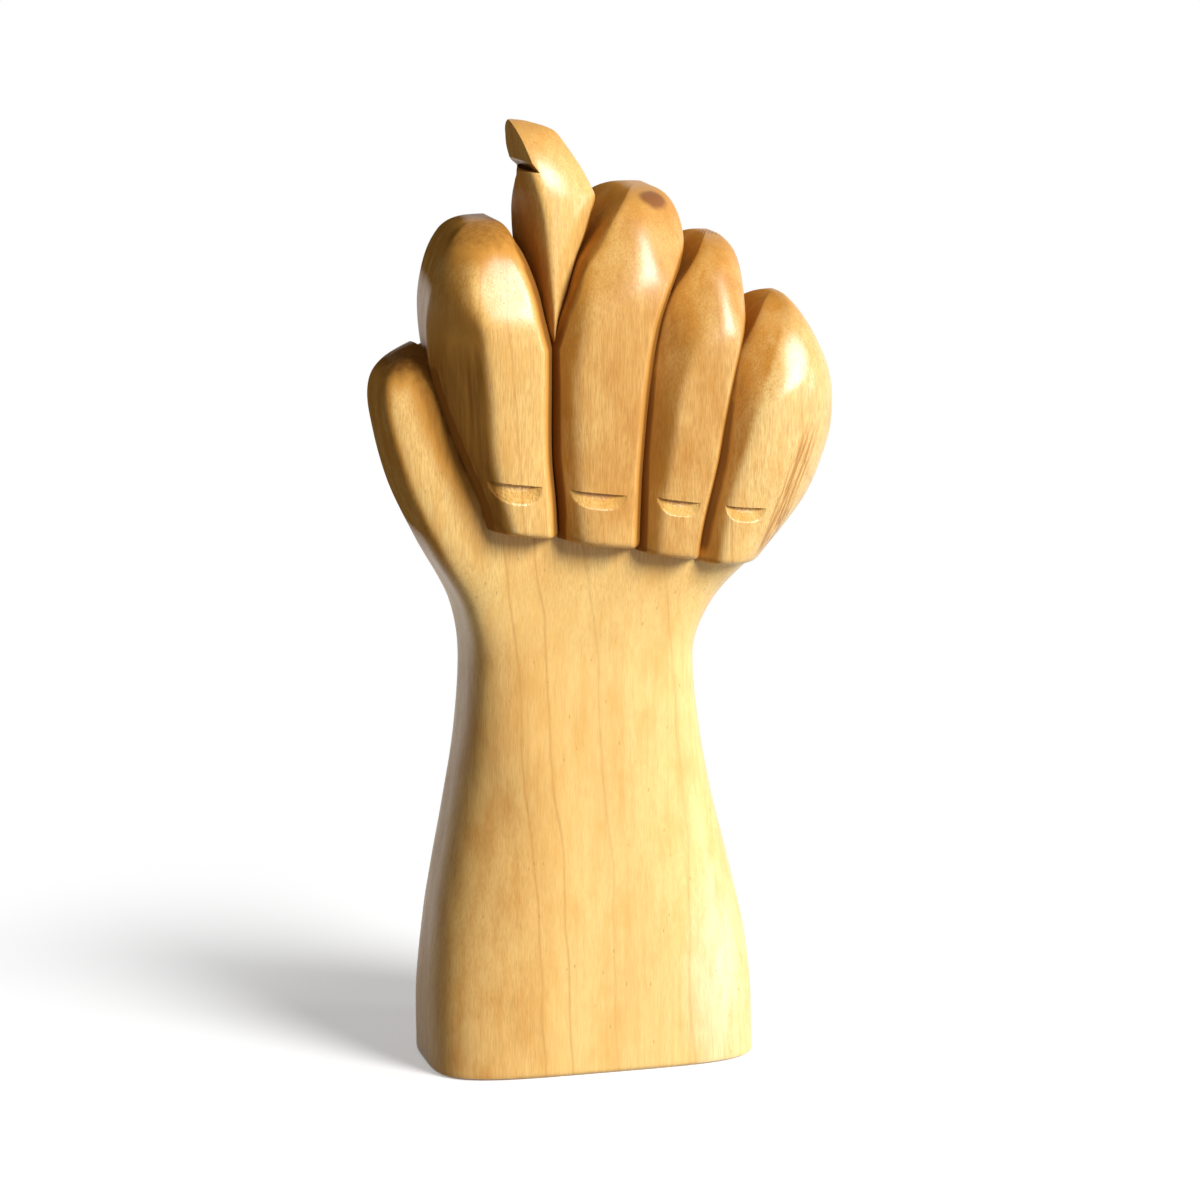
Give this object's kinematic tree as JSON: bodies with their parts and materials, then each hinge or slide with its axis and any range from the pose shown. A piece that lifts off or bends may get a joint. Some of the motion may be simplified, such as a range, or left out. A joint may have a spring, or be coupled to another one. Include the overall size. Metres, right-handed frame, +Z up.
{
  "type": "figa carving",
  "caption": "Carved wooden figa: a clenched hand with the thumb between the index and middle fingers, on a forearm that flares to a flat base to stand on.",
  "frame": {"origin": "middle of the forearm's flat underside", "axes": "+Z up from the base to the thumb's tip, -Y out of the fingers' fronts, -X to the thumb's side"},
  "size_m": [0.0942, 0.0474, 0.1974],
  "materials": {
    "varnished_wood": "satin"
  },
  "bodies": {
    "root": {"forearm_and_palm": "varnished_wood", "index_finger": "varnished_wood", "middle_finger": "varnished_wood", "ring_finger": "varnished_wood", "little_finger": "varnished_wood", "thumb": "varnished_wood"}
  },
  "joints": []
}
